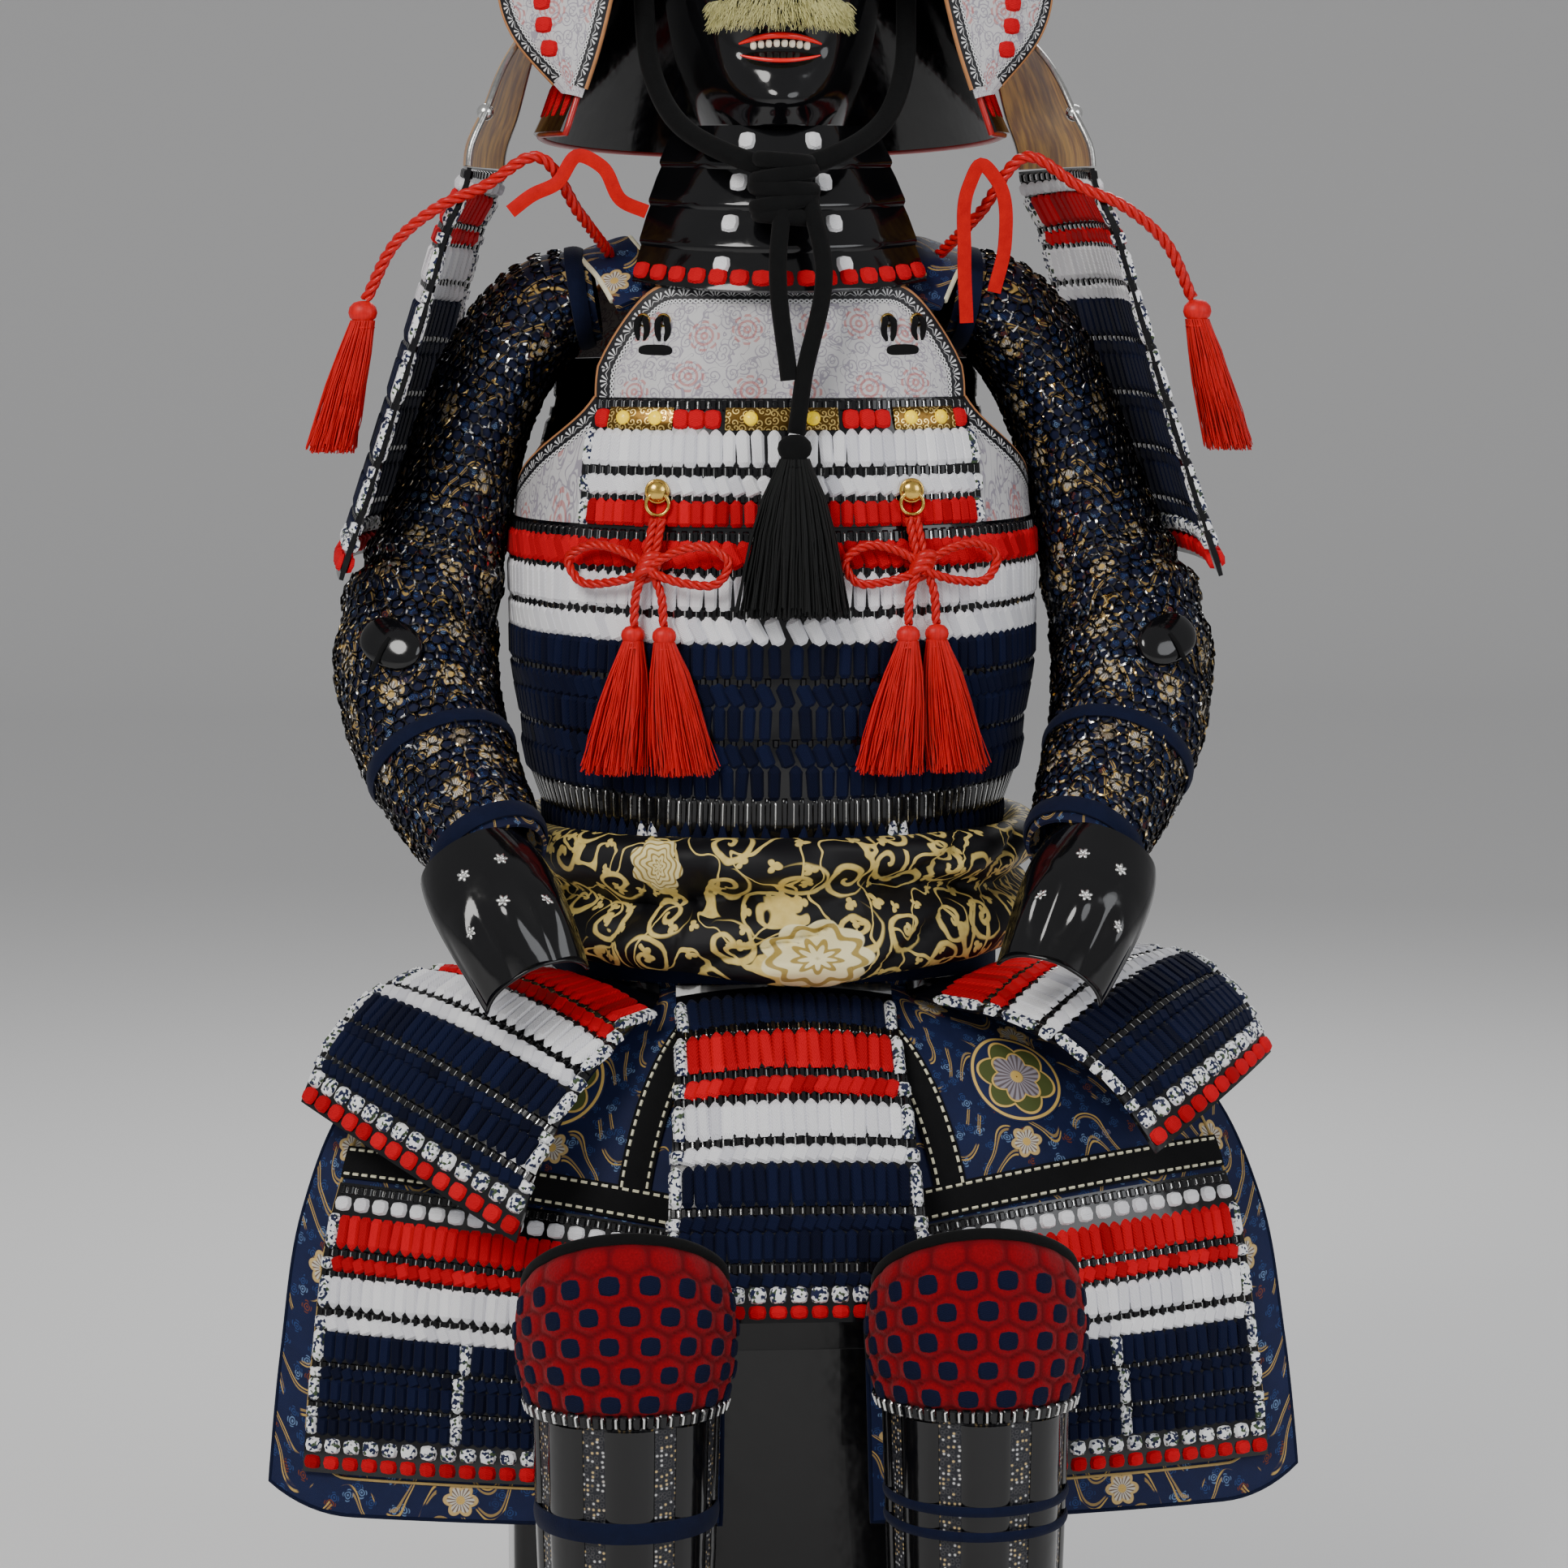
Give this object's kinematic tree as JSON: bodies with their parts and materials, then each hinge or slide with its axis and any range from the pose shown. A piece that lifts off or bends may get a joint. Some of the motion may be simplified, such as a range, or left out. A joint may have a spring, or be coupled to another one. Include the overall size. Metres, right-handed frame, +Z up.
{
  "type": "samurai armour on armour box",
  "caption": "Laced samurai armour set seated on its lacquered box, with helmet, face mask, cuirass, tassets, mail sleeves, thigh, knee and shin guards",
  "frame": {"origin": "on the floor under the centre of the set's bounding box", "axes": "+X is the viewer's right, -Y is the front of the armour, +Z is up"},
  "size_m": [0.7542, 0.6176, 1.544],
  "materials": {
    "black_lacquer": "glossy black lacquer",
    "navy_lacing": "navy silk lacing over lacquered lames",
    "black_cord": "thick black cotton cord",
    "red_silk": "twisted red silk",
    "printed_leather": "pale grey leather printed with fine scrolls",
    "blue_brocade": "navy brocade with gold and pale blue figures",
    "gold_brocade": "black brocade with gold scrolls",
    "mail_sleeve": "brocade under black iron mail",
    "knee_quilt": "red cloth quilted in hexagons with navy squares",
    "gilt": "gilt metal",
    "gold_leather": "tan and gold leather facing",
    "box_lacquer": "black lacquered box",
    "stand_wood": "plain wood stand"
  },
  "bodies": {
    "root": {"armour_box": "box_lacquer", "back_lames": "navy_lacing", "back_plate": "printed_leather", "chest_cord_left": "red_silk", "chest_cord_right": "red_silk", "chest_lames": "navy_lacing", "chest_plate": "printed_leather", "chest_ring_left": "gilt", "chest_ring_right": "gilt", "chin_cord": "black_cord", "face_mask": "black_lacquer", "hand_plate_left": "black_lacquer", "hand_plate_right": "black_lacquer", "helmet_bowl": "black_lacquer", "helmet_visor": "black_lacquer", "helmet_wing_left": "printed_leather", "helmet_wing_right": "printed_leather", "knee_guard_left": "knee_quilt", "knee_guard_right": "knee_quilt", "neck_guard": "black_lacquer", "ribbon_left": "red_silk", "ribbon_right": "red_silk", "sash": "gold_brocade", "shin_guard_left": "black_lacquer", "shin_guard_right": "black_lacquer", "shoulder_cord_left": "red_silk", "shoulder_cord_right": "red_silk", "shoulder_guard_left": "navy_lacing", "shoulder_guard_right": "navy_lacing", "shoulder_guard_top_left": "gold_leather", "shoulder_guard_top_right": "gold_leather", "shoulder_strap_left": "blue_brocade", "shoulder_strap_right": "blue_brocade", "side_plate_left": "printed_leather", "side_plate_right": "printed_leather", "sleeve_left": "mail_sleeve", "sleeve_right": "mail_sleeve", "stand": "stand_wood", "tassel_chest_left_inner": "red_silk", "tassel_chest_left_outer": "red_silk", "tassel_chest_right_inner": "red_silk", "tassel_chest_right_outer": "red_silk", "tassel_chin": "black_cord", "tassel_shoulder_left": "red_silk", "tassel_shoulder_right": "red_silk", "tasset_back_left": "navy_lacing", "tasset_back_right": "navy_lacing", "tasset_front": "navy_lacing", "tasset_front_left": "navy_lacing", "tasset_front_right": "navy_lacing", "tasset_hip_left": "navy_lacing", "tasset_hip_right": "navy_lacing", "thigh_apron_left": "blue_brocade", "thigh_apron_right": "blue_brocade", "thigh_lames_left": "navy_lacing", "thigh_lames_right": "navy_lacing", "throat_guard": "black_lacquer", "torso_lames": "navy_lacing", "waist_lacing": "navy_lacing"}
  },
  "joints": []
}
